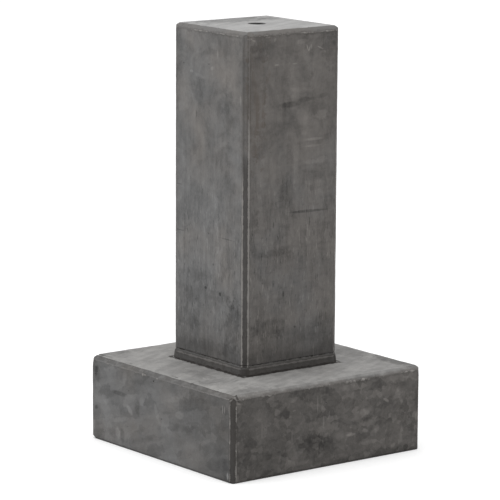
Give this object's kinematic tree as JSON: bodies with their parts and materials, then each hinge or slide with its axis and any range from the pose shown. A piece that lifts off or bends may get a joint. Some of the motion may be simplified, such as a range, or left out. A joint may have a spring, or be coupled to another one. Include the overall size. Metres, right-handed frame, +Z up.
{
  "type": "column base block",
  "caption": "Cast concrete pier block: a square shaft on a wide square foot, with a blind socket in its top, to stand on the ground and carry a post or column.",
  "frame": {"origin": "centre of the underside", "axes": "+Z up along the shaft's axis, X and Y square to the sides"},
  "size_m": [0.406, 0.406, 0.725],
  "materials": {
    "concrete": "matte"
  },
  "bodies": {
    "root": {"pier_block": "concrete"}
  },
  "joints": []
}
